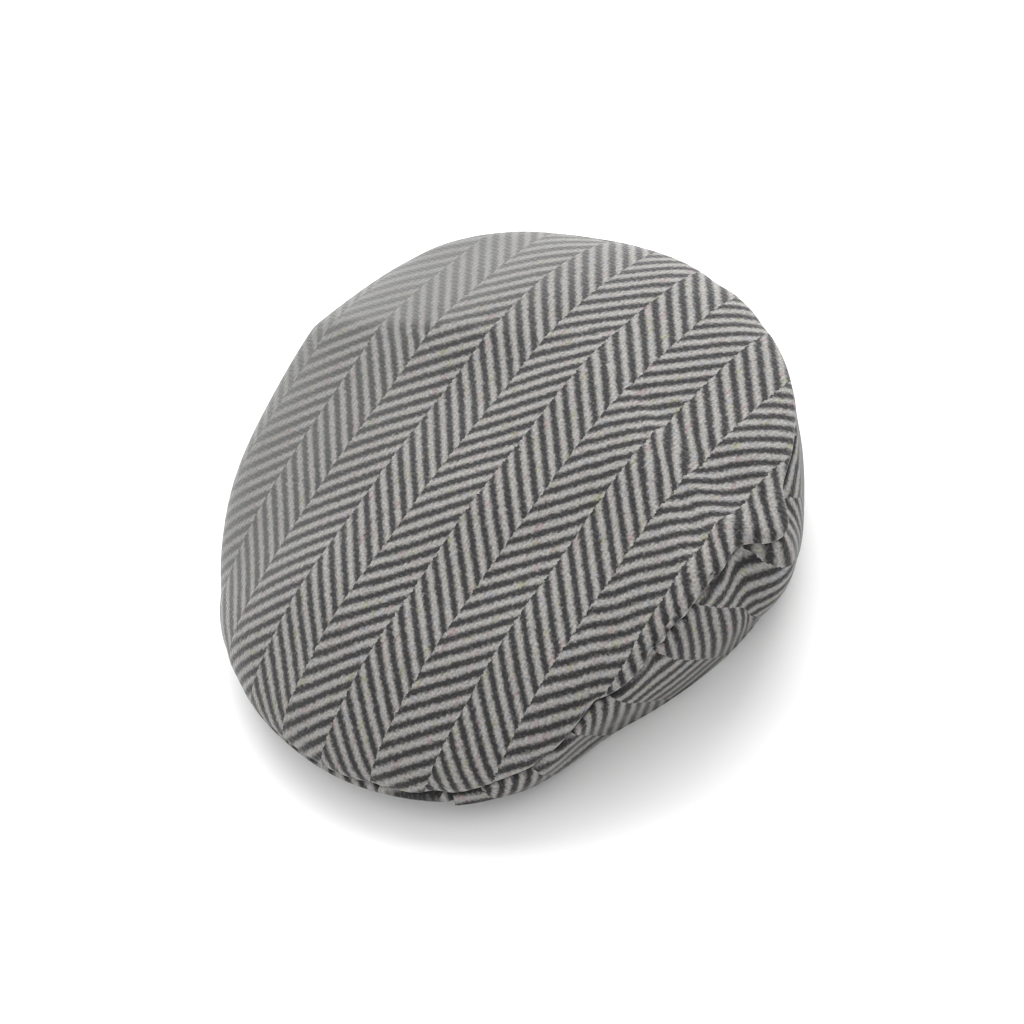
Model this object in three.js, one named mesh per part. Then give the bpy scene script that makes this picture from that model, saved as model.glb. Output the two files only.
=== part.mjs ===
// A flat cap: a top panel drawn forward over a stiff peak, and two side panels joined at the centre back.
// Millimetres, +Z up. The front looks along -Y and the wearer's left is +X. The rim stands on Z = 0.
import * as THREE from "three";
import { mergeVertices } from "three/addons/utils/BufferGeometryUtils.js";

// The seam, which is the lower edge of the top panel and the cap's widest line
const crownHalfWidth = 112;
const crownBack = 110.5;
const crownFront = 125;
const seamHeightBack = 67.5;
const seamHeightSide = 63.5;
const seamHeightFront = 17.5;
const crownSquareness = 2.2;
const frontTaper = 0.03;
const backRise = 1.5;
const frontFall = 1.58;

// The top of the crown
const crownHeight = 81;
const crownTopBehind = 54;

// The rim, where the head goes in
const rimHalfWidth = 96;
const rimBack = 106.5;
const rimFront = 130;
const rimSquareness = 2.2;
const foreheadHalfWidth = 89;
const foreheadDepth = 90;

// Cloth
const clothWall = 2.2;
const hemWall = 4;
const hemHeight = 12;
const panelBulge = 4;
const hemShareRatio = 0.6;
const seamGap = 0.3;

// The peak
const peakThickness = 6;
const peakSetback = 0.4;

// Angles round the cap, in degrees from the wearer's left towards the back, so -90 is the front
const rimRiseAngle = -16;
const rimJoinAngle = -60;
const panelEndAngle = -52;
const peakEndAngle = -18;
const peakEmergeAngle = 2;
const tangentAngle = 0.5;

// How full the top panel is between its top and its edge, at the back and at the front
const fullness = [
  { at: "back", bow: 1.7, roll: 1.95 },
  { at: "front", bow: 1.31, roll: 1.66 },
];

// Soft bulges (+) and dents (-) in the top panel. Around is in degrees, outward is the share of the way
// from the top to the edge, rise is a share of the crown's height, and the spreads are in the same units.
const crownForms = [
  { name: "back right dent", around: 113, outward: 0.9, rise: -0.037, spreadAround: 15, spreadOut: 0.25 },
  { name: "right corner", around: 150, outward: 0.9, rise: 0.022, spreadAround: 14, spreadOut: 0.25 },
  { name: "front right corner", around: 207, outward: 0.9, rise: 0.026, spreadAround: 14, spreadOut: 0.25 },
  { name: "left corner", around: 16, outward: 0.9, rise: 0.033, spreadAround: 14, spreadOut: 0.25 },
];

// Rows of a side panel, as shares of its height above the hem, and how many of them have the thinner wall
const panelRows = [0, 0.35, 0.7, 0.94];

const columnsRound = 72;
const crownRows = 14;
const panelColumns = 32;
const peakColumns = 30;
const peakRows = 5;

const { lerp, smoothstep, degToRad } = THREE.MathUtils;
const signedPower = (value, exponent) => Math.sign(value) * Math.abs(value) ** exponent;

// How far an angle in degrees is towards the front (1) or the back (1)
const towardsFront = (degrees) => Math.max(-Math.sin(degToRad(degrees)), 0);
const towardsBack = (degrees) => Math.max(Math.sin(degToRad(degrees)), 0);

// The way round the other half of the cap, and the same angle on the wearer's left half
const mirroredAngle = (degrees) => 180 - degrees;
const onLeftHalf = (degrees) => {
  const turned = THREE.MathUtils.euclideanModulo(degrees + 90, 360) - 90;
  return turned > 90 ? mirroredAngle(turned) : turned;
};

// A squared oval with its own reach to the front and to the back
function ovalPoint(degrees, halfWidth, front, back, squareness) {
  const along = Math.sin(degToRad(degrees));
  const x = halfWidth * signedPower(Math.cos(degToRad(degrees)), 2 / squareness);
  const y = signedPower(along, 2 / squareness) * (along > 0 ? back : front);
  return new THREE.Vector3(x, y, 0);
}

function seamPoint(degrees) {
  const front = towardsFront(degrees);
  const point = ovalPoint(degrees, crownHalfWidth, crownFront, crownBack, crownSquareness);
  point.x *= 1 - frontTaper * front;
  point.z = lerp(seamHeightSide, seamHeightBack, towardsBack(degrees) ** backRise);
  point.z += (seamHeightFront - seamHeightSide) * (1 - (1 - front) ** frontFall);
  return point;
}

// The lowest edge of the cap: the rim, which rises and runs out to the peak's edge at the front
function rimPoint(degrees) {
  const joined = smoothstep(-onLeftHalf(degrees), -rimRiseAngle, -rimJoinAngle);
  const seam = seamPoint(degrees);
  const rim = ovalPoint(degrees, rimHalfWidth, rimFront, rimBack, rimSquareness);
  rim.x *= 1 - frontTaper * towardsFront(degrees);
  const point = rim.lerp(new THREE.Vector3(seam.x, seam.y, 0), joined);
  point.z = joined * (seam.z - seamGap - peakThickness);
  return point;
}

function crownPoint(degrees, row) {
  const seam = seamPoint(degrees);
  const front = (1 - Math.sin(degToRad(degrees))) / 2;
  const bow = lerp(fullness[0].bow, fullness[1].bow, front);
  const roll = lerp(fullness[0].roll, fullness[1].roll, front);
  const outward = Math.sin((row / crownRows) * (Math.PI / 2));
  const lift = Math.max(1 - outward ** bow, 0) ** (1 / roll);
  const point = new THREE.Vector3(0, crownTopBehind, 0).lerp(new THREE.Vector3(seam.x, seam.y, 0), outward);
  point.z = lerp(seam.z, crownHeight, lift);
  return point;
}

// How far the crown's forms raise its surface at one place
function formRise(degrees, outward) {
  let rise = 0;
  for (const form of crownForms) {
    const turn = THREE.MathUtils.euclideanModulo(degrees - form.around + 180, 360) - 180;
    const near = (turn / form.spreadAround) ** 2 + ((outward - form.outward) / form.spreadOut) ** 2;
    rise += form.rise * crownHeight * Math.exp(-near);
  }
  return rise;
}

// A wall between an outer and an inner grid of points, closed round its edges. Each grid is a list of
// columns. A wall that goes all the way round has one point at the top of every column.
function wallGeometry(outer, inner, goesRound) {
  const columns = outer.length;
  const rows = outer[0].length;
  const points = [...outer.flat(), ...inner.flat()];
  const index = [];
  const at = (side, column, row) => (side * columns + (column % columns)) * rows + row;
  const quad = (a, b, c, d) => index.push(a, b, c, a, c, d);
  const lastColumn = goesRound ? columns : columns - 1;
  for (let i = 0; i < lastColumn; i++) {
    for (let j = 0; j < rows - 1; j++) {
      quad(at(0, i, j), at(0, i, j + 1), at(0, i + 1, j + 1), at(0, i + 1, j));
      quad(at(1, i, j), at(1, i + 1, j), at(1, i + 1, j + 1), at(1, i, j + 1));
    }
    quad(at(0, i, rows - 1), at(1, i, rows - 1), at(1, i + 1, rows - 1), at(0, i + 1, rows - 1));
    if (!goesRound) quad(at(0, i, 0), at(0, i + 1, 0), at(1, i + 1, 0), at(1, i, 0));
  }
  if (!goesRound) {
    for (let j = 0; j < rows - 1; j++) {
      quad(at(0, 0, j), at(1, 0, j), at(1, 0, j + 1), at(0, 0, j + 1));
      quad(at(0, columns - 1, j), at(0, columns - 1, j + 1), at(1, columns - 1, j + 1), at(1, columns - 1, j));
    }
  }
  return closedGeometry(points, index);
}

// Joins points that coincide and leaves out the triangles that they flatten
function closedGeometry(points, index) {
  const loose = new THREE.BufferGeometry().setFromPoints(points).setIndex(index);
  const joined = mergeVertices(loose, 1e-4);
  const kept = [];
  for (let i = 0; i < joined.index.count; i += 3) {
    const corners = [0, 1, 2].map((k) => joined.index.getX(i + k));
    if (new Set(corners).size === 3) kept.push(...corners);
  }
  joined.setIndex(kept);
  joined.computeVertexNormals();
  return joined;
}

const mirrored = (point, side) => new THREE.Vector3(point.x * side, point.y, point.z);

// The level direction out of the cap, square to a closed curve at one angle
function outwardAt(curve, degrees) {
  const along = curve(degrees + tangentAngle).sub(curve(degrees - tangentAngle));
  return new THREE.Vector3(along.y, -along.x, 0).normalize();
}

// Normals of a grid that goes round and starts in one point, with its last row kept level
function gridNormals(grid) {
  const columns = grid.length;
  const rows = grid[0].length;
  return grid.map((column, i) =>
    column.map((point, j) => {
      const next = grid[(i + 1) % columns];
      const before = grid[(i + columns - 1) % columns];
      if (j === 0) return new THREE.Vector3(0, 0, 1);
      if (j === rows - 1) return outwardAt(seamPoint, (i / columns) * 360);
      const around = next[j].clone().sub(before[j]);
      const down = column[j + 1].clone().sub(column[j - 1]);
      return down.cross(around).normalize();
    }),
  );
}

function crownTopGeometry() {
  const surface = [];
  for (let i = 0; i < columnsRound; i++) {
    const degrees = (i / columnsRound) * 360;
    surface.push(Array.from({ length: crownRows + 1 }, (_, row) => crownPoint(degrees, row)));
  }
  const smoothNormals = gridNormals(surface);
  const shaped = surface.map((column, i) =>
    column.map((point, row) => {
      const kept = row === 0 || row === crownRows;
      const rise = kept ? 0 : formRise((i / columnsRound) * 360, row / crownRows);
      return point.clone().addScaledVector(smoothNormals[i][row], rise);
    }),
  );
  const normals = gridNormals(shaped);
  const inner = shaped.map((column, i) =>
    column.map((point, row) => point.clone().addScaledVector(normals[i][row], -clothWall)),
  );
  return wallGeometry(shaped, inner, true);
}

// How far the panel has come into its full form: none at the peak's corner, all from where the rim is level
const panelSettled = (degrees) => smoothstep(degrees, panelEndAngle, rimRiseAngle);
const hemThickness = (degrees) => lerp(clothWall, hemWall, panelSettled(degrees));

// One side panel, from the peak's corner to the centre back, with a turned hem round its lower edge
function sidePanelGeometry(side) {
  const outer = [];
  const inner = [];
  for (let i = 0; i <= panelColumns; i++) {
    const degrees = lerp(panelEndAngle, 90, i / panelColumns);
    const seam = seamPoint(degrees);
    const rim = rimPoint(degrees);
    const top = seam.clone().setZ(seam.z - seamGap);
    const out = outwardAt(seamPoint, degrees);
    const hemStart = 1 - Math.min(hemHeight / (top.z - rim.z), hemShareRatio);
    const shares = [...panelRows.map((row) => row * hemStart), hemStart, (1 + hemStart) / 2, 1];
    const outerColumn = [];
    const innerColumn = [];
    shares.forEach((share, row) => {
      const point = top.clone().lerp(rim, share);
      point.addScaledVector(out, panelBulge * Math.sin(Math.PI * share) * panelSettled(degrees));
      const thickness = row < panelRows.length ? clothWall : hemThickness(degrees);
      outerColumn.push(point);
      innerColumn.push(point.clone().addScaledVector(out, -thickness));
    });
    for (const column of [outerColumn, innerColumn]) {
      column.forEach((point) => {
        point.x = Math.max(point.x, 0) + seamGap / 2;
      });
    }
    outer.push(outerColumn.map((point) => mirrored(point, side)));
    inner.push(innerColumn.map((point) => mirrored(point, side)));
  }
  return side > 0 ? wallGeometry(outer, inner, false) : wallGeometry(inner, outer, false);
}

// The peak: a thick crescent from temple to temple. Its ends are tucked inside the side panels, and its
// front edge lies under the edge of the top panel.
function peakGeometry() {
  const upper = [];
  const lower = [];
  for (let i = 0; i <= peakColumns; i++) {
    const degrees = lerp(mirroredAngle(peakEndAngle) - 360, peakEndAngle, i / peakColumns);
    const left = onLeftHalf(degrees);
    const rim = rimPoint(degrees);
    const covered = smoothstep(left, panelEndAngle - peakEmergeAngle, panelEndAngle);
    const setback = covered * hemThickness(left) + peakSetback;
    const edge = rim.clone().addScaledVector(outwardAt(rimPoint, degrees), -setback);
    const forehead = ovalPoint(degrees, foreheadHalfWidth, foreheadDepth, foreheadDepth, 2).setZ(rim.z);
    const upperColumn = [];
    const lowerColumn = [];
    for (let row = 0; row <= peakRows; row++) {
      const point = forehead.clone().lerp(edge, row / peakRows);
      lowerColumn.push(point);
      upperColumn.push(point.clone().setZ(point.z + peakThickness));
    }
    upper.push(upperColumn);
    lower.push(lowerColumn);
  }
  return wallGeometry(upper, lower, false);
}

const tweed = (tint) => new THREE.MeshStandardMaterial({ color: tint, roughness: 0.95, metalness: 0 });

const standing = new THREE.Group();
const flatCap = new THREE.Group();
flatCap.add(standing);
const pieces = [
  { name: "crown_top", geometry: crownTopGeometry(), tint: 0x8a8782 },
  { name: "side_left", geometry: sidePanelGeometry(1), tint: 0x7f7c78 },
  { name: "side_right", geometry: sidePanelGeometry(-1), tint: 0x7f7c78 },
  { name: "peak", geometry: peakGeometry(), tint: 0x5f5d5b },
];
for (const piece of pieces) {
  const mesh = new THREE.Mesh(piece.geometry, tweed(piece.tint));
  mesh.name = piece.name;
  standing.add(mesh);
}

// The cap stands with its middle over the origin
const middle = new THREE.Box3().setFromObject(standing).getCenter(new THREE.Vector3());
standing.position.set(-middle.x, -middle.y, 0);

export default flatCap;
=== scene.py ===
# Flat cap in herringbone wool: the top panel, two side panels and a stiff peak
import math
import bmesh
import bpy
import numpy as np
from mathutils import Matrix, Vector


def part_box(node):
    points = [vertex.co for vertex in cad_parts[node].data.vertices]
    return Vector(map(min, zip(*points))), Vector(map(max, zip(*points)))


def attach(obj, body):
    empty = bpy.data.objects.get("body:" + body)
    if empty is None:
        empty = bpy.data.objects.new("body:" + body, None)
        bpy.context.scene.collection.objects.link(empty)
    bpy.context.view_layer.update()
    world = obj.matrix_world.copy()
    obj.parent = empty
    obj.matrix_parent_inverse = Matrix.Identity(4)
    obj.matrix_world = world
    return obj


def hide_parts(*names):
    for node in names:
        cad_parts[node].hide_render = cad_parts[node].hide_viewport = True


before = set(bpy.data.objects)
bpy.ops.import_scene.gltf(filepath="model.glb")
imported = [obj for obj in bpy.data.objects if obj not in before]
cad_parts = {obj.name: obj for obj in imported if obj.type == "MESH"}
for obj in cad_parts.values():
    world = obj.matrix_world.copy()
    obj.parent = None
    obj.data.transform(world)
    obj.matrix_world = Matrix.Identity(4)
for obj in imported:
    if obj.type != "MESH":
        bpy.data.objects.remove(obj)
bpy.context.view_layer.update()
crownLow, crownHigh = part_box("crown_top")

# The cap's form in metres. Angles run from the wearer's left (0) to the back (90), in degrees.
capForm = {
    "halfWidth": 0.112,
    "back": 0.1105,
    "front": 0.125,
    "squareness": 2.2,
    "frontTaper": 0.03,
    "backRise": 1.5,
    "frontFall": 1.58,
    "seamHeightBack": 0.0675,
    "seamHeightSide": 0.0635,
    "seamHeightFront": 0.0175,
    "height": crownHigh.z,
    "topEase": 0.0006,
    "topBehind": 0.054,
    "bowBack": 1.7,
    "bowFront": 1.31,
    "rollBack": 1.95,
    "rollFront": 1.66,
    "rimHalfWidth": 0.096,
    "rimBack": 0.1065,
    "rimFront": 0.130,
    "rimSquareness": 2.2,
    "rimRiseStart": -16,
    "rimJoinsSeam": -60,
}
clothForm = {
    "wall": 0.0022,
    "seamGap": 0.0003,
    "seamRoll": 0.0016,
}
peakThickness = 0.006
# Where soft cloth settles away from the plain form: each moves the seam, the rim or the side
# panel's middle outwards or upwards by so much, over a spread in degrees, on one side or on both
seamShifts = [
    {"around": 17.5, "spread": 5.5, "out": 0.0072, "up": -0.0044, "both": False},
    {"around": 10, "spread": 4, "out": -0.0036, "up": 0.0012, "both": False},
    {"around": -50, "spread": 13, "out": 0.0008, "up": -0.0024, "both": True},
    {"around": -10, "spread": 4, "out": -0.0010, "up": 0.0004, "both": False},
    {"around": -22, "spread": 6, "out": -0.0030, "up": 0.0016, "both": False},
    {"around": -35, "spread": 5, "out": 0.0012, "up": -0.0006, "both": False},
    {"around": 113, "spread": 17, "out": -0.0012, "up": -0.0024, "both": False},
]
rimShifts = [
    {"around": -17, "spread": 9, "out": -0.0054, "both": True},
    {"around": -42, "spread": 11, "out": 0.0022, "both": True},
    {"around": -5, "spread": 8, "out": -0.0018, "both": False},
]
bulgeShifts = [
    {"around": 24, "spread": 11, "out": 0.0034, "both": True},
    {"around": -20, "spread": 12, "out": -0.0030, "both": True},
    {"around": 52, "spread": 13, "out": -0.0028, "both": True},
]
# The form has its own middle; this carries it to the middle of the CAD pieces
middleShift = crownLow.y + capForm["front"]


def smoothStep(value, low, high):
    t = np.clip((value - low) / (high - low), 0, 1)
    return t * t * (3 - 2 * t)


def lerp(a, b, t):
    return a + (b - a) * t


def signedPower(value, exponent):
    return np.sign(value) * np.abs(value) ** exponent


def towardsFront(angle):
    return np.maximum(-np.sin(np.radians(angle)), 0)


def onLeftHalf(angle):
    turned = np.mod(angle + 90, 360) - 90
    return np.where(turned > 90, 180 - turned, turned)


def ovalPoint(angle, halfWidth, front, back, squareness):
    along = np.sin(np.radians(angle))
    x = halfWidth * signedPower(np.cos(np.radians(angle)), 2 / squareness)
    y = signedPower(along, 2 / squareness) * np.where(along > 0, back, front)
    return np.stack([x, y + middleShift, 0 * x], -1)


def shiftSum(shifts, angle, key):
    total = 0 * angle
    for shift in shifts:
        places = [shift["around"], 180 - shift["around"]] if shift["both"] else [shift["around"]]
        for place in places:
            turn = np.mod(angle - place + 180, 360) - 180
            total = total + shift[key] * np.exp(-(turn / shift["spread"]) ** 2)
    return total


def outwards(angle):
    return np.stack([np.cos(np.radians(angle)), np.sin(np.radians(angle))], -1)


def seamPoint(angle):
    c = capForm
    front = towardsFront(angle)
    point = ovalPoint(angle, c["halfWidth"], c["front"], c["back"], c["squareness"])
    point[..., 0] *= 1 - c["frontTaper"] * front
    back = np.maximum(np.sin(np.radians(angle)), 0)
    point[..., 2] = lerp(c["seamHeightSide"], c["seamHeightBack"], back ** c["backRise"])
    fall = 1 - (1 - front) ** c["frontFall"]
    point[..., 2] += (c["seamHeightFront"] - c["seamHeightSide"]) * fall
    point[..., 2] += shiftSum(seamShifts, angle, "up")
    point[..., :2] += outwards(angle) * shiftSum(seamShifts, angle, "out")[..., None]
    return point


def rimPoint(angle):
    c = capForm
    joined = smoothStep(-onLeftHalf(angle), -c["rimRiseStart"], -c["rimJoinsSeam"])
    seam = seamPoint(angle)
    rim = ovalPoint(angle, c["rimHalfWidth"], c["rimFront"], c["rimBack"], c["rimSquareness"])
    rim[..., 0] *= 1 - c["frontTaper"] * towardsFront(angle)
    rim[..., :2] += outwards(angle) * shiftSum(rimShifts, angle, "out")[..., None]
    point = lerp(rim, seam * [1, 1, 0], joined[..., None])
    point[..., 2] = joined * (seam[..., 2] - clothForm["seamGap"] - peakThickness)
    return point


def outwardAt(curve, angle):
    halfStep = 0.5
    along = curve(angle + halfStep) - curve(angle - halfStep)
    out = np.stack([along[..., 1], -along[..., 0], 0 * along[..., 0]], -1)
    return out / np.linalg.norm(out, axis=-1, keepdims=True)


def waveField(points, size, seed, waves=14, sizes=(0.7, 1.5)):
    # a soft random field between about -1 and 1, whose hollows are about one size apart
    rng = np.random.default_rng(seed)
    total = np.zeros(points.shape[:-1])
    for _ in range(waves):
        direction = rng.normal(size=3)
        direction *= 2 * math.pi / (size * rng.uniform(*sizes) * np.linalg.norm(direction))
        total += np.cos(points @ direction + rng.uniform(0, 2 * math.pi))
    return total / math.sqrt(waves)


def gridNormals(grid):
    # for a grid that goes round a pole, which gets the mean direction of the ring beside it
    tiny = 1e-14
    around = np.roll(grid, -1, 0) - np.roll(grid, 1, 0)
    down = np.gradient(grid, axis=1)
    normal = np.cross(down, around)
    length = np.linalg.norm(normal, axis=-1, keepdims=True)
    normal = np.where(length > tiny, normal / np.maximum(length, tiny), [0, 0, 1])
    normal[:, 0] = normal[:, 1].mean(0) / np.linalg.norm(normal[:, 1].mean(0))
    return normal


def wallMesh(name, outer, inner, outerUv, innerUv, goesRound, flip=False):
    # a closed cloth wall between two grids of points, joined round their open edges
    columns = outer.shape[0]
    rows = [outer.shape[1], inner.shape[1]]
    points = np.concatenate([outer.reshape(-1, 3), inner.reshape(-1, 3)])
    uvs = np.concatenate([outerUv.reshape(-1, 2), innerUv.reshape(-1, 2)])
    starts = [0, columns * rows[0]]

    def at(side, column, row):
        if goesRound and row == 0:
            column = 0
        return starts[side] + (column % columns) * rows[side] + row

    faces = []
    last = columns if goesRound else columns - 1
    for i in range(last):
        for j in range(rows[0] - 1):
            faces.append((at(0, i, j), at(0, i, j + 1), at(0, i + 1, j + 1), at(0, i + 1, j)))
        for j in range(rows[1] - 1):
            faces.append((at(1, i, j), at(1, i + 1, j), at(1, i + 1, j + 1), at(1, i, j + 1)))
        a, b = rows[0] - 1, rows[1] - 1
        faces.append((at(0, i, a), at(1, i, b), at(1, i + 1, b), at(0, i + 1, a)))
        if not goesRound:
            faces.append((at(0, i, 0), at(0, i + 1, 0), at(1, i + 1, 0), at(1, i, 0)))
    if not goesRound:
        for i in (0, columns - 1):
            ring = [at(0, i, j) for j in range(rows[0])]
            ring += [at(1, i, j) for j in reversed(range(rows[1]))]
            faces.extend(capFaces(ring, i == 0))
    if flip:
        faces = [tuple(reversed(f)) for f in faces]
    faces = [tuple(dict.fromkeys(f)) for f in faces]
    mesh = bpy.data.meshes.new(name)
    mesh.from_pydata(points.tolist(), [], faces)
    layer = mesh.uv_layers.new(name="clothUV")
    loops = np.empty(len(mesh.loops), int)
    mesh.loops.foreach_get("vertex_index", loops)
    layer.data.foreach_set("uv", uvs[loops].astype(np.float32).ravel())
    mesh.polygons.foreach_set("use_smooth", [True] * len(mesh.polygons))
    mesh.validate()
    piece = bpy.data.objects.new(name, mesh)
    bpy.context.scene.collection.objects.link(piece)
    return dropLoose(piece)


def capFaces(ring, first):
    # closes the open end of a wall with a strip of quads across it
    faces = []
    low, high = 0, len(ring) - 1
    while high - low > 2:
        quad = (ring[low], ring[low + 1], ring[high - 1], ring[high])
        faces.append(quad if not first else tuple(reversed(quad)))
        low, high = low + 1, high - 1
    if high - low == 2:
        triangle = (ring[low], ring[low + 1], ring[high])
        faces.append(triangle if not first else tuple(reversed(triangle)))
    return faces


def dropLoose(piece):
    # each grid has a row of points for its pole, and all but the one that the faces use are loose
    mesh = piece.data
    used = np.zeros(len(mesh.vertices), bool)
    loops = np.empty(len(mesh.loops), int)
    mesh.loops.foreach_get("vertex_index", loops)
    used[loops] = True
    if not used.all():
        work = bmesh.new()
        work.from_mesh(mesh)
        work.verts.ensure_lookup_table()
        bmesh.ops.delete(work, geom=[work.verts[i] for i in np.nonzero(~used)[0]], context="VERTS")
        work.to_mesh(mesh)
        work.free()
    return piece


# Top panel
crownCloth = {
    "columns": 256,
    "rows": 84,
    "rollRows": 5,
    "calmFrom": 0.001,
    "calmTo": 0.02,
    "dentFade": 0.06,
    "hollowDepth": 0.0008,
    "hollowSize": 0.06,
    "puckerDepth": 0.0011,
    "puckerReach": 0.012,
    "puckersRound": 34,
    "seed": 5,
    "weaveTurn": -4.42,
    "weaveShift": 0.0149,
    "weaveScale": (1, 1),
}
# Soft bulges and dents: angle round, share outward, rise, and how far each spreads
crownDents = [
    {"around": 113, "outward": 0.9, "rise": -0.0012, "spreadAround": 15, "spreadOut": 0.25},
    {"around": 150, "outward": 0.9, "rise": 0.0018, "spreadAround": 14, "spreadOut": 0.25},
    {"around": 207, "outward": 0.9, "rise": 0.0021, "spreadAround": 14, "spreadOut": 0.25},
    {"around": 16, "outward": 0.9, "rise": 0.0027, "spreadAround": 14, "spreadOut": 0.25},
]


def crownPoint(angle, row):
    c = capForm
    seam = seamPoint(angle)
    seam[..., 2] += clothForm["seamRoll"]
    front = (1 - np.sin(np.radians(angle))) / 2
    bow = lerp(c["bowBack"], c["bowFront"], front)
    roll = lerp(c["rollBack"], c["rollFront"], front)
    outward = np.sin(row * np.pi / 2)
    lift = np.maximum(1 - outward ** bow, 0) ** (1 / roll)
    top = np.array([0, c["topBehind"] + middleShift, 0])
    point = lerp(top, seam * [1, 1, 0], outward[..., None])
    point[..., 2] = lerp(seam[..., 2], c["height"] - c["topEase"], lift)
    return point


def crownDentRise(angle, row):
    rise = np.zeros(angle.shape)
    for dent in crownDents:
        turn = np.mod(angle - dent["around"] + 180, 360) - 180
        near = (turn / dent["spreadAround"]) ** 2 + ((row - dent["outward"]) / dent["spreadOut"]) ** 2
        rise += dent["rise"] * np.exp(-near)
    fade = np.sin(np.clip((1 - row) / crownCloth["dentFade"], 0, 1) * math.pi / 2)
    return rise * fade


# Tight tucks along the left seam, where the photo shows small dark hollows
seamTucks = [
    {"around": 12, "width": 1.5, "depth": 0.0026},
    {"around": 3, "width": 1.1, "depth": 0.0018},
    {"around": -5, "width": 1.2, "depth": 0.0024},
    {"around": -9, "width": 1.2, "depth": 0.0022},
    {"around": -21, "width": 1.3, "depth": 0.0014},
    {"around": -33, "width": 1.3, "depth": 0.0014},
]
tuckReach = 0.0045
# Shallow puckers lie all round the seam, widths in degrees, and are deepest at one place
puckers = {
    "narrowest": 1.6,
    "widest": 4.5,
    "weakest": 0.2,
    "rarity": 1.5,
    "deepestAt": -10,
    "least": 0.6,
    "extra": 0.4,
}


def tuckDepth(angle, reach):
    depth = 0 * angle
    for tuck in seamTucks:
        turn = np.mod(angle - tuck["around"] + 180, 360) - 180
        depth += tuck["depth"] * np.exp(-(turn / tuck["width"]) ** 2)
    return depth * np.exp(-(reach / tuckReach) ** 2)


def seamPuckers(angle, seed, count):
    # how deep the cloth is drawn in beside the seam
    p = puckers
    rng = np.random.default_rng(seed)
    depth = np.zeros(angle.shape)
    for _ in range(count):
        centre = rng.uniform(0, 360)
        width = rng.uniform(p["narrowest"], p["widest"])
        strength = rng.uniform(p["weakest"], 1) ** p["rarity"]
        turn = np.mod(angle - centre + 180, 360) - 180
        depth += strength * np.exp(-(turn / width) ** 2)
    return depth * (p["least"] + p["extra"] * np.cos(np.radians(angle - p["deepestAt"])))


def flattenGrid(points, rounds=30):
    # lays a grid that goes round a pole flat with as little stretch as it can (as rigid as possible)
    columns, rows = points.shape[0], points.shape[1] - 1
    places = np.concatenate([points[:1, 0], points[:, 1:].transpose(1, 0, 2).reshape(-1, 3)])
    triangles = [(0, 1 + j, 1 + (j + 1) % columns) for j in range(columns)]
    for i in range(rows - 1):
        a, b = 1 + i * columns, 1 + (i + 1) * columns
        for j in range(columns):
            k = (j + 1) % columns
            triangles += [(a + j, b + j, b + k), (a + j, b + k, a + k)]
    triangles = np.array(triangles)
    count = len(places)
    corners = places[triangles]
    side = corners[:, 1] - corners[:, 0]
    length = np.linalg.norm(side, axis=1)
    other = corners[:, 2] - corners[:, 0]
    across = (side * other).sum(1) / length
    height = np.sqrt(np.maximum((other ** 2).sum(1) - across ** 2, 1e-16))
    zero = np.zeros(len(length))
    cornersLaid = ([zero, zero], [length, zero], [across, height])
    flat = np.stack([np.stack(corner, 1) for corner in cornersLaid], 1)
    pairs = ((0, 1), (1, 2), (2, 0))
    matrix = np.zeros((count, count))
    for i, j in pairs:
        np.add.at(matrix, (triangles[:, i], triangles[:, i]), 1)
        np.add.at(matrix, (triangles[:, j], triangles[:, j]), 1)
        np.add.at(matrix, (triangles[:, i], triangles[:, j]), -1)
        np.add.at(matrix, (triangles[:, j], triangles[:, i]), -1)
    inverse = np.linalg.inv(matrix + np.ones((count, count)) / count)
    steps = np.linalg.norm(np.diff(points, axis=1), axis=2).cumsum(1)
    direction = points[:, -1, :2] - points[0, 0, :2]
    direction /= np.linalg.norm(direction, axis=1, keepdims=True)
    laid = np.zeros((count, 2))
    laid[1:] = (steps[..., None] * direction[:, None]).transpose(1, 0, 2).reshape(-1, 2)
    for _ in range(rounds):
        turned = np.zeros((len(triangles), 2, 2))
        for i, j in pairs:
            now = laid[triangles[:, i]] - laid[triangles[:, j]]
            turned += now[:, :, None] * (flat[:, i] - flat[:, j])[:, None, :]
        angle = np.arctan2(turned[:, 1, 0] - turned[:, 0, 1], turned[:, 0, 0] + turned[:, 1, 1])
        cos, sin = np.cos(angle), np.sin(angle)
        rotation = np.stack([np.stack([cos, -sin], -1), np.stack([sin, cos], -1)], -2)
        target = np.zeros((count, 2))
        for i, j in pairs:
            step = np.einsum("nij,nj->ni", rotation, flat[:, i] - flat[:, j])
            np.add.at(target, triangles[:, i], step)
            np.add.at(target, triangles[:, j], -step)
        laid = inverse @ target
    laid -= laid[0]
    rings = laid[1:].reshape(rows, columns, 2).transpose(1, 0, 2)
    grid = np.concatenate([np.zeros((columns, 1, 2)), rings], 1)
    ahead = grid[columns // 4, -1] - grid[3 * columns // 4, -1]
    ahead /= np.linalg.norm(ahead)
    return grid @ np.array([[ahead[1], -ahead[0]], [ahead[0], ahead[1]]]).T


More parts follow.
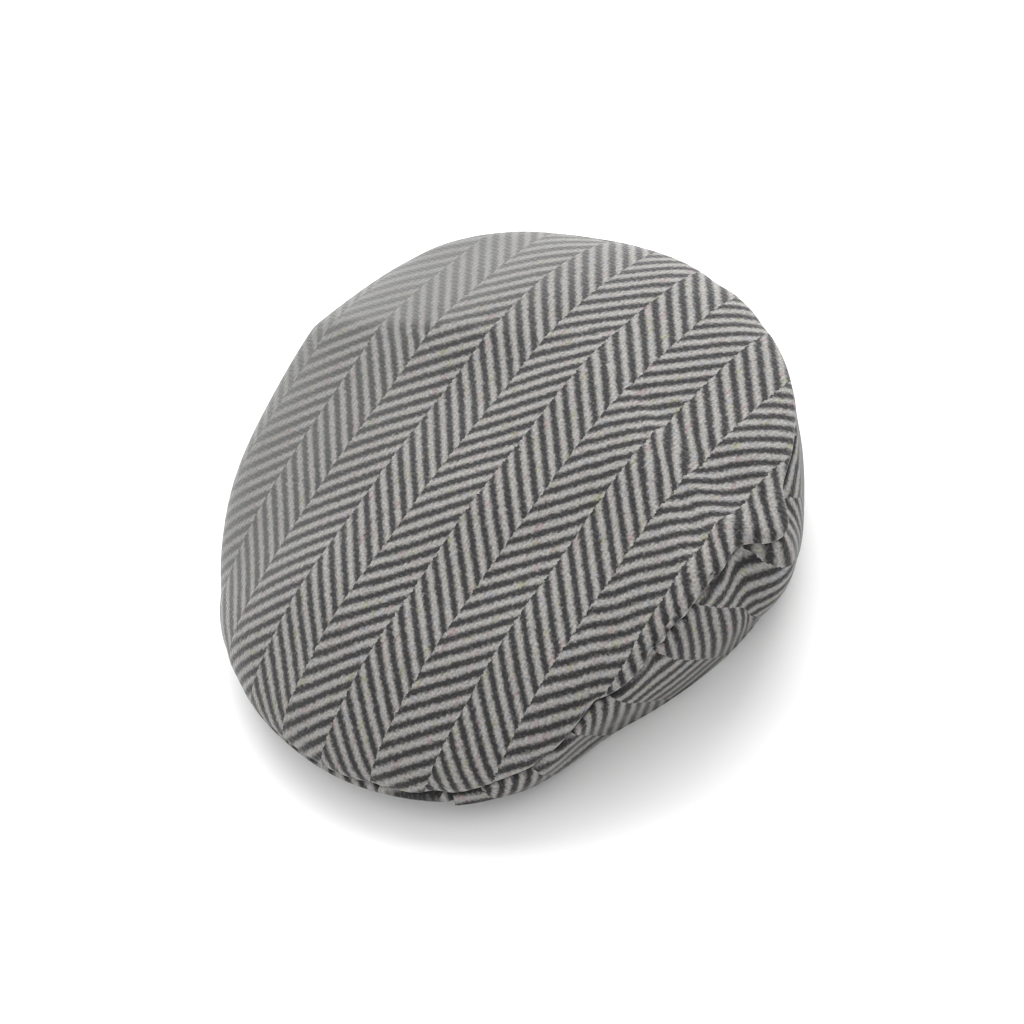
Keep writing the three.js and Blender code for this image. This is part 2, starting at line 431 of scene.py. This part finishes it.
def smoothSample(grid, column, row):
    # reads a grid that goes round a pole between its points, on a smooth (Catmull-Rom) curve
    columns = grid.shape[0]
    before = np.roll(grid, columns // 2, 0)[:, 1:3][:, ::-1]
    after = 2 * grid[:, -1:] - grid[:, -2:-1]
    long = np.concatenate([before, grid, after, 2 * after - grid[:, -1:]], 1)

    def weights(t):
        return np.stack([
            -0.5 * t + t ** 2 - 0.5 * t ** 3,
            1 - 2.5 * t ** 2 + 1.5 * t ** 3,
            0.5 * t + 2 * t ** 2 - 1.5 * t ** 3,
            -0.5 * t ** 2 + 0.5 * t ** 3,
        ], -1)

    ci, ri = np.floor(column).astype(int), np.floor(row).astype(int)
    cw, rw = weights(column - ci), weights(row - ri)
    total = 0
    for a in range(4):
        for b in range(4):
            value = long[(ci + a - 1) % columns, np.clip(ri + b + 1, 0, long.shape[1] - 1)]
            total = total + value * (cw[..., a] * rw[..., b])[..., None]
    return total


flatCage = {"columns": 60, "rows": 14}


def crownFlatCloth(angle, row):
    cageAngle = np.arange(flatCage["columns"]) * 360 / flatCage["columns"]
    cageRow = np.linspace(0, 1, flatCage["rows"] + 1)
    a, r = np.meshgrid(cageAngle, cageRow, indexing="ij")
    laid = flattenGrid(crownPoint(a, r))
    return smoothSample(laid, angle / 360 * flatCage["columns"], row * flatCage["rows"])


def makeCrown():
    c = crownCloth
    columnAngle = np.arange(c["columns"]) * 360 / c["columns"]
    share = np.linspace(0, 1, c["rows"] + 1)
    angle, row = np.meshgrid(columnAngle, share, indexing="ij")
    surface = crownPoint(angle, row)
    normals = gridNormals(surface)
    normals[:, -1] = outwardAt(seamPoint, columnAngle)
    toEdge = np.linalg.norm(np.diff(surface, axis=1), axis=2)[:, ::-1].cumsum(1)[:, ::-1]
    toEdge = np.concatenate([toEdge, np.zeros((c["columns"], 1))], 1)
    rise = crownDentRise(angle, row)
    calm = smoothStep(toEdge, c["calmFrom"], c["calmTo"])
    rise += c["hollowDepth"] * calm * waveField(surface, c["hollowSize"], c["seed"])
    reach = np.exp(-(toEdge / c["puckerReach"]) ** 2)
    pucker = seamPuckers(angle, c["seed"], c["puckersRound"])
    rise -= c["puckerDepth"] * pucker * reach + tuckDepth(angle, toEdge)
    surface = surface + normals * rise[..., None]
    normals = gridNormals(surface)
    normals[:, -1] = outwardAt(seamPoint, columnAngle)
    inner = surface - normals * clothForm["wall"]
    out = outwardAt(seamPoint, columnAngle)[:, None]
    turn = (np.arange(1, c["rollRows"] + 1) / c["rollRows"] * math.pi / 2)[None, :, None]
    radius = clothForm["seamRoll"]
    down = np.array([0, 0, 1]) * radius * np.sin(turn)
    rolled = surface[:, -1:] - out * radius * (1 - np.cos(turn)) - down
    flat = crownFlatCloth(angle, row)
    lastStep = flat[:, -1:] - flat[:, -2:-1]
    lastStep /= np.linalg.norm(lastStep, axis=2, keepdims=True)
    flatRolled = flat[:, -1:] + lastStep * (radius * turn)
    outer = np.concatenate([surface, rolled], 1)
    outerFlat = np.concatenate([flat, flatRolled], 1)
    outerFlat, flat = (turnedCloth(laid, c) for laid in (outerFlat, flat))
    return wallMesh("crownCloth", outer, inner, outerFlat, flat, True)


def turnedCloth(flat, cloth):
    # how the cloth lay when the piece was cut: turned, eased in or out, then moved across its columns
    turn = math.radians(cloth["weaveTurn"])
    flat = flat @ np.array([[math.cos(turn), math.sin(turn)], [-math.sin(turn), math.cos(turn)]])
    return flat * cloth["weaveScale"] + [cloth["weaveShift"], 0]


# Side panels
sideCloth = {
    "columns": 150,
    "rows": 30,
    "rollRows": 4,
    "hemRows": 8,
    "panelEnd": -52,
    "bulge": 0.004,
    "hemWall": 0.004,
    "hemHeight": 0.012,
    "hemStep": 0.001,
    "calmShare": 0.3,
    "hollowDepth": 0.0006,
    "hollowSize": 0.045,
    "puckerDepth": 0.0012,
    "puckerReach": 0.012,
    "puckersRound": 40,
    "seed": 11,
    "endWall": 0.001,
    "endSpan": 10,
    "weaveTurn": -34,
    "weaveShift": -0.0094,
    "weavePull": -0.55,
    "pullStart": -0.060,
    "pullSpan": 0.012,
    "weaveScale": (1, 0.8),
}


def panelSettled(angle):
    return smoothStep(angle, sideCloth["panelEnd"], capForm["rimRiseStart"])


def hemThickness(angle):
    return lerp(sideCloth["endWall"], sideCloth["hemWall"], panelSettled(angle))


def makeSide(name, side):
    c = sideCloth
    columnAngle = np.linspace(c["panelEnd"], 90, c["columns"] + 1)
    ownAngle = columnAngle if side > 0 else 180 - columnAngle
    mirror = np.array([side, 1, 1])
    seam = seamPoint(ownAngle) * mirror
    rim = rimPoint(ownAngle) * mirror
    out = outwardAt(seamPoint, ownAngle) * mirror
    roll = clothForm["seamRoll"]
    up = np.array([0, 0, 1.0])
    settled = panelSettled(columnAngle)[:, None, None]
    hemWall = hemThickness(columnAngle)[:, None, None]
    whole = smoothStep(columnAngle, c["panelEnd"], c["panelEnd"] + c["endSpan"])[:, None, None]
    wall = lerp(c["endWall"], clothForm["wall"], whole)
    hemRadius = hemWall / 2
    top = (seam - up * (clothForm["seamGap"] + roll))[:, None]
    low = rim[:, None] + up * hemRadius
    share = np.linspace(0, 1, c["rows"] + 1)[None, :, None]
    face = lerp(top, low, share)
    bulge = c["bulge"] + shiftSum(bulgeShifts, ownAngle, "out")[:, None, None]
    bulge = bulge * np.sin(math.pi * share) * settled
    height = (top - low)[..., 2:3] * share
    angle = np.repeat(ownAngle[:, None], c["rows"] + 1, 1)
    place = face * [side, 1, 1]
    calm = c["calmShare"]
    dents = c["hollowDepth"] * waveField(place, c["hollowSize"], c["seed"])
    dents = dents * smoothStep(share[..., 0], 0, calm) * smoothStep(1 - share[..., 0], 0, calm)
    pucker = seamPuckers(angle, c["seed"], c["puckersRound"])
    dents = dents - c["puckerDepth"] * pucker * np.exp(-(height[..., 0] / c["puckerReach"]) ** 2)
    dents = dents - tuckDepth(angle, height[..., 0])
    rollIn = endRoll(columnAngle, rim, roll)
    outline = face + out[:, None] * (bulge + dents[..., None] * settled - rollIn[:, None, None])
    turn = (np.arange(c["rollRows"]) / c["rollRows"] * math.pi / 2)[None, :, None]
    topRoll = outline[:, :1] - out[:, None] * roll * (1 - np.sin(turn)) + up * roll * np.cos(turn)
    turn = (np.arange(1, c["hemRows"] + 1) / c["hemRows"] * math.pi)[None, :, None]
    centre = outline[:, -1:] - out[:, None] * hemRadius
    hemRoll = centre + out[:, None] * hemRadius * np.cos(turn) - up * hemRadius * np.sin(turn)
    outer = np.concatenate([topRoll, outline, hemRoll], 1)
    drop = (top - low)[..., 2:3] * (1 - share)
    thick = lerp(hemWall, wall, smoothStep(drop, c["hemHeight"] - c["hemStep"], c["hemHeight"]))
    thick = np.where(hemWall > wall, thick, wall)
    inner = outline - out[:, None] * thick
    inner = inner[:, :-1]
    for grid in (outer, inner):
        grid[..., 0] = np.maximum(grid[..., 0], 0) + clothForm["seamGap"] / 2
        grid[..., 0] *= side
    form = capForm
    plain = ovalPoint(columnAngle, form["halfWidth"], form["front"], form["back"], form["squareness"])
    along = np.linalg.norm(np.diff((plain + rim * [1, 1, 0]) / 2, axis=0), axis=1)
    along = np.concatenate([[0], along.cumsum()]) - along.sum()
    down = np.linalg.norm(np.diff(outer, axis=1), axis=2).cumsum(1)
    down = np.concatenate([np.zeros((c["columns"] + 1, 1)), down], 1)
    flat = np.stack([np.repeat(along[:, None], down.shape[1], 1), down[:, -1:] - down], -1)
    flat = turnedCloth(flat, c)
    if side > 0:
        # towards the peak the cloth is pulled askew, up to where it lies calm
        ahead = (c["pullStart"] - flat[..., 0]) / c["pullSpan"]
        flat[..., 1] -= c["weavePull"] * c["weaveScale"][1] * c["pullSpan"] * np.log1p(np.exp(ahead))
    first = c["rollRows"]
    innerFlat = flat[:, first:first + inner.shape[1]]
    return wallMesh(name, outer, inner, flat, innerFlat, False, side < 0)


def endRoll(columnAngle, rim, radius):
    # how far the cloth turns in beside the centre back seam
    distance = np.linalg.norm(np.diff(rim, axis=0), axis=1)[::-1].cumsum()[::-1]
    distance = np.concatenate([distance, [0]])
    left = np.clip(radius - distance, 0, radius)
    return radius - np.sqrt(np.maximum(radius ** 2 - left ** 2, 0))


# Peak
peakCloth = {
    "columns": 160,
    "rows": 26,
    "edgeRows": 10,
    "foreheadHalfWidth": 0.089,
    "foreheadFront": 0.090,
    "foreheadSquareness": 2,
    "setback": 0.0004,
    "end": -18,
    "emerges": 2,
}


def makePeak():
    c = peakCloth
    columnAngle = np.linspace(-180 - c["end"], c["end"], c["columns"] + 1)
    left = onLeftHalf(columnAngle)
    rim = rimPoint(columnAngle)
    covered = smoothStep(left, sideCloth["panelEnd"] - c["emerges"], sideCloth["panelEnd"])
    setback = covered * hemThickness(left) + c["setback"]
    edge = rim - outwardAt(rimPoint, columnAngle) * setback[:, None]
    halfWidth, reach = c["foreheadHalfWidth"], c["foreheadFront"]
    forehead = ovalPoint(columnAngle, halfWidth, reach, reach, c["foreheadSquareness"])
    forehead[:, 2] = rim[:, 2]
    half = peakThickness / 2
    along = edge - forehead
    width = np.linalg.norm(along, axis=1, keepdims=True)
    along = along / width
    up = np.array([0, 0, 1.0])
    share = np.linspace(0, 1, c["rows"] + 1)[None, :, None]
    inside = forehead + along * half
    outside = edge - along * half
    middle = lerp(inside[:, None], outside[:, None], share) + up * half
    turn = (np.arange(1, c["edgeRows"]) / c["edgeRows"] * math.pi / 2)[None, :, None]
    front = outside[:, None] + up * half
    back = inside[:, None] + up * half
    step = along[:, None]
    upper = np.concatenate([
        back - step * half * np.cos(turn) + up * half * np.sin(turn),
        middle + up * half,
        front + step * half * np.sin(turn) + up * half * np.cos(turn),
    ], 1)
    lower = np.concatenate([
        back - step * half * np.cos(turn) - up * half * np.sin(turn),
        middle - up * half,
        front + step * half * np.sin(turn) - up * half * np.cos(turn),
    ], 1)
    return wallMesh("peakCloth", upper, lower, upper[..., :2], lower[..., :2], False)


# Shader helpers
def node(tree, kind, **settings):
    made = tree.nodes.new(kind)
    for key, value in settings.items():
        setattr(made, key, value)
    return made


def feed(tree, socket, value):
    if isinstance(value, bpy.types.NodeSocket):
        tree.links.new(value, socket)
    else:
        socket.default_value = value


def calc(tree, operation, *values):
    made = node(tree, "ShaderNodeMath", operation=operation)
    for socket, value in zip(made.inputs, values):
        feed(tree, socket, value)
    return made.outputs[0]


def blendColour(tree, share, first, second, kind="MIX"):
    made = node(tree, "ShaderNodeMix", data_type="RGBA", blend_type=kind)
    feed(tree, made.inputs[0], share)
    feed(tree, made.inputs[6], first)
    feed(tree, made.inputs[7], second)
    return made.outputs[2]


def cloud(tree, vector, scale, detail=2.0, stretch=(1, 1, 1)):
    mapping = node(tree, "ShaderNodeMapping")
    feed(tree, mapping.inputs["Vector"], vector)
    mapping.inputs["Scale"].default_value = stretch
    noise = node(tree, "ShaderNodeTexNoise")
    feed(tree, noise.inputs["Vector"], mapping.outputs[0])
    noise.inputs["Scale"].default_value = scale
    noise.inputs["Detail"].default_value = detail
    return noise.outputs["Fac"]


def ramp(tree, value, low, high):
    made = node(tree, "ShaderNodeMapRange", interpolation_type="SMOOTHSTEP")
    feed(tree, made.inputs["Value"], value)
    made.inputs["From Min"].default_value = low
    made.inputs["From Max"].default_value = high
    return made.outputs["Result"]


weave = {
    "columnWidth": 0.02246,
    "stripeStep": 0.0074,
    "yarnPitch": 0.00185,
    "yarnSteps": 0.2,
    "wanderScale": 700,
    "wanderDetail": 2,
    "wanderReach": 0.0022,
    "lightFrom": -0.9,
    "lightTo": 1.15,
    "lightWool": (0.277, 0.268, 0.257, 1),
    "darkWool": (0.0255, 0.0247, 0.0255, 1),
    "mottledWool": (0.082, 0.078, 0.078, 1),
    "mottleScale": 900,
    "mottleFrom": 0.52,
    "mottleTo": 0.75,
    # grey of the loose fibres, partly their own colour and partly painted sheen
    "fuzzAndSheen": (0.16, 0.16, 0.157, 1),
    "woolDetail": 3,
    "fibreScale": 1100,
    "fibreDepth": 1.5,
    "fibreLeast": 0.25,
    "lumpShade": 0.10,
    "meanShade": 0.96,
    "lumpHeight": 0.35,
    "lightHeight": 0.25,
    "fibreHeight": 0.5,
}
# Dyed fibres in the light yarns: their colour, the noise that spreads them, where in it they begin,
# and how strongly they show
flecks = [
    {"colour": (0.27, 0.185, 0.195, 1), "stretch": (420, 60, 1), "from": 0.60, "share": 0.7},
    {"colour": (0.23, 0.235, 0.135, 1), "stretch": (330, 80, 1.7), "from": 0.60, "share": 0.65},
    {"colour": (0.18, 0.215, 0.27, 1), "stretch": (90, 380, 2.3), "from": 0.58, "share": 0.4},
]
fleckTo = 0.74


def makeWeaveGroup():
    # herringbone: columns of slanted stripes, each turned against the last and half a stripe off
    w = weave
    tree = bpy.data.node_groups.new("herringboneWeave", "ShaderNodeTree")
    face = tree.interface
    face.new_socket("Cloth place", in_out="INPUT", socket_type="NodeSocketVector")
    for name in ("Column width", "Stripe step", "Slant", "Yarn pitch"):
        face.new_socket(name, in_out="INPUT", socket_type="NodeSocketFloat")
    face.new_socket("Light wool", in_out="INPUT", socket_type="NodeSocketColor")
    face.new_socket("Dark wool", in_out="INPUT", socket_type="NodeSocketColor")
    face.new_socket("Colour", in_out="OUTPUT", socket_type="NodeSocketColor")
    face.new_socket("Height", in_out="OUTPUT", socket_type="NodeSocketFloat")
    start = node(tree, "NodeGroupInput").outputs
    end = node(tree, "NodeGroupOutput").inputs
    cloth = start["Cloth place"]

    wander = node(tree, "ShaderNodeTexNoise")
    tree.links.new(cloth, wander.inputs["Vector"])
    wander.inputs["Scale"].default_value = w["wanderScale"]
    wander.inputs["Detail"].default_value = w["wanderDetail"]
    offset = node(tree, "ShaderNodeVectorMath", operation="MULTIPLY_ADD")
    tree.links.new(wander.outputs["Color"], offset.inputs[0])
    offset.inputs[1].default_value = (w["wanderReach"], w["wanderReach"], 0)
    tree.links.new(cloth, offset.inputs[2])
    place = node(tree, "ShaderNodeSeparateXYZ")
    tree.links.new(offset.outputs[0], place.inputs[0])
    across, along = place.outputs[0], place.outputs[1]

    yarn = start["Yarn pitch"]
    yarnIndex = calc(tree, "FLOOR", calc(tree, "DIVIDE", across, yarn))
    yarnMiddle = calc(tree, "MULTIPLY", calc(tree, "ADD", yarnIndex, 0.5), yarn)
    smoothPart = calc(tree, "MULTIPLY", across, 1 - w["yarnSteps"])
    stepped = calc(tree, "ADD", smoothPart, calc(tree, "MULTIPLY", yarnMiddle, w["yarnSteps"]))
    columnPlace = calc(tree, "DIVIDE", stepped, start["Column width"])
    fold = calc(tree, "PINGPONG", columnPlace, 1)
    columnIndex = calc(tree, "FLOOR", calc(tree, "DIVIDE", across, start["Column width"]))
    odd = calc(tree, "ABSOLUTE", calc(tree, "MODULO", columnIndex, 2))
    rise = calc(tree, "MULTIPLY", calc(tree, "MULTIPLY", fold, start["Column width"]), start["Slant"])
    phase = calc(tree, "DIVIDE", calc(tree, "SUBTRACT", along, rise), start["Stripe step"])
    phase = calc(tree, "MULTIPLY_ADD", odd, 0.5, phase)
    wave = calc(tree, "SINE", calc(tree, "MULTIPLY", phase, 2 * math.pi))
    light = ramp(tree, wave, w["lightFrom"], w["lightTo"])

    # painted shade: each yarn is round across its length, so its colour is painted darker towards its
    # neighbours; the light yarns run one way and the dark ones the other
    lumps = []
    for direction, share in ((across, light), (along, calc(tree, "SUBTRACT", 1, light))):
        turns = calc(tree, "MULTIPLY", calc(tree, "DIVIDE", direction, yarn), 2 * math.pi)
        swell = calc(tree, "MULTIPLY", calc(tree, "SINE", turns), share)
        lumps.append(calc(tree, "MULTIPLY", swell, 0.5))
    lump = calc(tree, "ADD", *lumps)

    lightWool = start["Light wool"]
    for fleck in flecks:
        spot = ramp(tree, cloud(tree, cloth, 1, 1, fleck["stretch"]), fleck["from"], fleckTo)
        spot = calc(tree, "MULTIPLY", spot, fleck["share"])
        lightWool = blendColour(tree, spot, lightWool, fleck["colour"])
    mottle = cloud(tree, cloth, w["mottleScale"], w["woolDetail"])
    mottle = ramp(tree, mottle, w["mottleFrom"], w["mottleTo"])
    darkWool = blendColour(tree, mottle, start["Dark wool"], w["mottledWool"])
    colour = blendColour(tree, light, darkWool, lightWool)
    # painted shade between the yarns, times the fibres' own random tone
    yarnShadeAndFibreTone = calc(tree, "MULTIPLY_ADD", lump, w["lumpShade"], w["meanShade"])
    fibre = cloud(tree, cloth, w["fibreScale"], w["woolDetail"])
    fibre = calc(tree, "MULTIPLY_ADD", fibre, w["fibreDepth"], w["fibreLeast"])
    yarnShadeAndFibreTone = calc(tree, "MULTIPLY", yarnShadeAndFibreTone, fibre)
    yarnShadeAndFibreGrey = node(tree, "ShaderNodeCombineColor")
    for socket in yarnShadeAndFibreGrey.inputs:
        tree.links.new(yarnShadeAndFibreTone, socket)
    colour = blendColour(tree, 1.0, colour, yarnShadeAndFibreGrey.outputs[0], "MULTIPLY")
    height = calc(tree, "MULTIPLY", light, w["lightHeight"])
    height = calc(tree, "MULTIPLY_ADD", lump, w["lumpHeight"], height)
    height = calc(tree, "MULTIPLY_ADD", fibre, w["fibreHeight"], height)
    tree.links.new(colour, end["Colour"])
    tree.links.new(height, end["Height"])
    return tree


tweedShading = {
    "facingBlend": 0.5,
    # the side of the cap towards the lamp, where more painted sheen goes, and how far in it grows to
    # full strength
    "paintedSheenSide": (-0.99, 0.14, 0),
    "paintedSheenReach": 0.105,
    "bumpStrength": 0.6,
    "bumpDistance": 0.0007,
    "roughness": 0.95,
    "specular": 0.15,
    "sheenRoughness": 0.4,
    "sheenTint": (0.9, 0.9, 0.9, 1),
}


def makeTweed(name, group, look):
    s = tweedShading
    material = bpy.data.materials.new(name)
    material.use_nodes = True
    tree = material.node_tree
    shader = tree.nodes["Principled BSDF"]
    place = node(tree, "ShaderNodeUVMap", uv_map="clothUV")
    pattern = node(tree, "ShaderNodeGroup")
    pattern.node_tree = group
    tree.links.new(place.outputs[0], pattern.inputs["Cloth place"])
    values = {
        "Column width": weave["columnWidth"],
        "Stripe step": weave["stripeStep"],
        "Slant": look["slant"],
        "Yarn pitch": weave["yarnPitch"],
        # a tone below 1 is painted shade over the whole piece
        "Light wool": [v * look["paintedShadeTone"] for v in weave["lightWool"][:3]] + [1],
        "Dark wool": [v * look["paintedShadeTone"] for v in weave["darkWool"][:3]] + [1],
    }
    for key, value in values.items():
        pattern.inputs[key].default_value = value
    # loose fibres stand off the cloth and show most where it turns away: their grey is partly their
    # own colour and partly painted sheen, painted stronger on the side towards the lamp
    facing = node(tree, "ShaderNodeLayerWeight")
    facing.inputs["Blend"].default_value = s["facingBlend"]
    # painted light: the fibre grey is painted stronger on the side of the piece towards the lamp,
    # with a smaller share everywhere
    own = node(tree, "ShaderNodeTexCoord")
    ownPlace = node(tree, "ShaderNodeVectorMath", operation="DOT_PRODUCT")
    tree.links.new(own.outputs["Object"], ownPlace.inputs[0])
    ownPlace.inputs[1].default_value = s["paintedSheenSide"]
    paintedSheenShare = ramp(tree, ownPlace.outputs["Value"], 0.0, s["paintedSheenReach"])
    paintedSheenShare = calc(tree, "MULTIPLY_ADD", paintedSheenShare, 1 - look["fuzzAndSheenEverywhere"], look["fuzzAndSheenEverywhere"])
    fuzzAndSheen = ramp(tree, facing.outputs["Facing"], look["fuzzAndSheenFrom"], look["fuzzAndSheenTo"])
    fuzzAndSheen = calc(tree, "MULTIPLY", fuzzAndSheen, look["fuzzAndSheen"])
    fuzzAndSheen = calc(tree, "MULTIPLY", fuzzAndSheen, paintedSheenShare)
    fuzzAndSheenColour = blendColour(tree, fuzzAndSheen, pattern.outputs["Colour"], weave["fuzzAndSheen"])
    tree.links.new(fuzzAndSheenColour, shader.inputs["Base Color"])
    bump = node(tree, "ShaderNodeBump")
    bump.inputs["Strength"].default_value = s["bumpStrength"]
    bump.inputs["Distance"].default_value = s["bumpDistance"]
    tree.links.new(pattern.outputs["Height"], bump.inputs["Height"])
    tree.links.new(bump.outputs[0], shader.inputs["Normal"])
    shader.inputs["Roughness"].default_value = s["roughness"]
    shader.inputs["Specular IOR Level"].default_value = s["specular"]
    shader.inputs["Sheen Weight"].default_value = look["sheen"]
    shader.inputs["Sheen Roughness"].default_value = s["sheenRoughness"]
    shader.inputs["Sheen Tint"].default_value = s["sheenTint"]
    return material


crownLook = {
    "paintedShadeTone": 1.0,
    "slant": 0.98,
    "fuzzAndSheen": 0.74,
    "fuzzAndSheenFrom": 0.04,
    "fuzzAndSheenTo": 0.45,
    "fuzzAndSheenEverywhere": 0.12,
    "sheen": 0.4,
}
# the side panels and peak are the same cloth as the top: their lower tone is painted shade, as less
# light falls on them
sideLook = {
    "paintedShadeTone": 0.95,
    "slant": 0.78,
    "fuzzAndSheen": 0.6,
    "fuzzAndSheenFrom": 0.72,
    "fuzzAndSheenTo": 0.95,
    "fuzzAndSheenEverywhere": 1.0,
    "sheen": 0.1,
}


# Camera, floor and light
view = {
    "azimuth": 63.96,
    "elevation": 47.03,
    "roll": -21.25,
    "distance": 1.19,
    "sensorWidth": 36,
    "focalPixels": 3139,
    "framePixels": 1024,
    "targetPixel": (493.2, 478.6),
    "target": (0, 0.00161, 0.055),
}
stage = {
    "floorSize": 6,
    "floorTone": 0.9,
    "floorRoughness": 0.9,
    "skyStrength": 1.12,
}
keyLight = {
    "aside": 0.05,
    "tilt": 49,
    "distance": 1.6,
    "power": 44,
    "size": 1.9,
}


def makeCamera():
    a, e, r = (math.radians(view[key]) for key in ("azimuth", "elevation", "roll"))
    back = Vector((math.sin(a) * math.cos(e), -math.cos(a) * math.cos(e), math.sin(e)))
    right = Vector((math.cos(a), math.sin(a), 0))
    up = back.cross(right)
    right, up = right * math.cos(r) + up * math.sin(r), up * math.cos(r) - right * math.sin(r)
    data = bpy.data.cameras.new("camera")
    data.sensor_width = view["sensorWidth"]
    data.lens = view["focalPixels"] / view["framePixels"] * data.sensor_width
    half = view["framePixels"] / 2
    data.shift_x = (half - view["targetPixel"][0]) / view["framePixels"]
    data.shift_y = (view["targetPixel"][1] - half) / view["framePixels"]
    camera = bpy.data.objects.new("camera", data)
    bpy.context.scene.collection.objects.link(camera)
    turned = Matrix((right, up, back)).transposed().to_4x4()
    place = Vector(view["target"]) + back * view["distance"]
    camera.matrix_world = Matrix.Translation(place) @ turned
    bpy.context.scene.camera = camera
    return right, up


def makeStage():
    mesh = bpy.data.meshes.new("floor")
    s = stage["floorSize"] / 2
    mesh.from_pydata([(-s, -s, 0), (s, -s, 0), (s, s, 0), (-s, s, 0)], [], [(0, 1, 2, 3)])
    floor = bpy.data.objects.new("floor", mesh)
    bpy.context.scene.collection.objects.link(floor)
    material = bpy.data.materials.new("paleFloor")
    material.use_nodes = True
    shader = material.node_tree.nodes["Principled BSDF"]
    shader.inputs["Base Color"].default_value = [stage["floorTone"]] * 3 + [1]
    shader.inputs["Roughness"].default_value = stage["floorRoughness"]
    mesh.materials.append(material)
    world = bpy.data.worlds.new("studio")
    bpy.context.scene.world = world
    world.use_nodes = True
    sky = world.node_tree.nodes["Background"]
    sky.inputs[0].default_value = (1, 1, 1, 1)
    sky.inputs[1].default_value = stage["skyStrength"]
    bpy.context.scene.view_settings.view_transform = "Standard"


def makeLight(right, up):
    # one large lamp beyond the cap as the camera sees it, a little to the left
    aside = (up - right * keyLight["aside"]) * Vector((1, 1, 0))
    aside.normalize()
    tilt = math.radians(keyLight["tilt"])
    place = (aside * math.sin(tilt) + Vector((0, 0, math.cos(tilt)))) * keyLight["distance"]
    data = bpy.data.lights.new("keyLight", "AREA")
    data.energy = keyLight["power"]
    data.size = keyLight["size"]
    light = bpy.data.objects.new("keyLight", data)
    light.location = place
    light.rotation_mode = "QUATERNION"
    light.rotation_quaternion = place.to_track_quat("Z", "Y")
    bpy.context.scene.collection.objects.link(light)


cameraRight, cameraUp = makeCamera()
makeStage()
makeLight(cameraRight, cameraUp)
print("camera, floor and light are in place")

weaveGroup = makeWeaveGroup()
crownTweed = makeTweed("crownTweed", weaveGroup, crownLook)
sideTweed = makeTweed("sideTweed", weaveGroup, sideLook)
pieces = (
    (makeCrown(), "crown_top", crownTweed),
    (makeSide("sideClothLeft", 1), "side_left", sideTweed),
    (makeSide("sideClothRight", -1), "side_right", sideTweed),
    (makePeak(), "peak", sideTweed),
)
for piece, cadNode, tweed in pieces:
    piece.data.materials.append(tweed)
    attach(piece, "root")
    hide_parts(cadNode)
print("cloth pieces are in place")
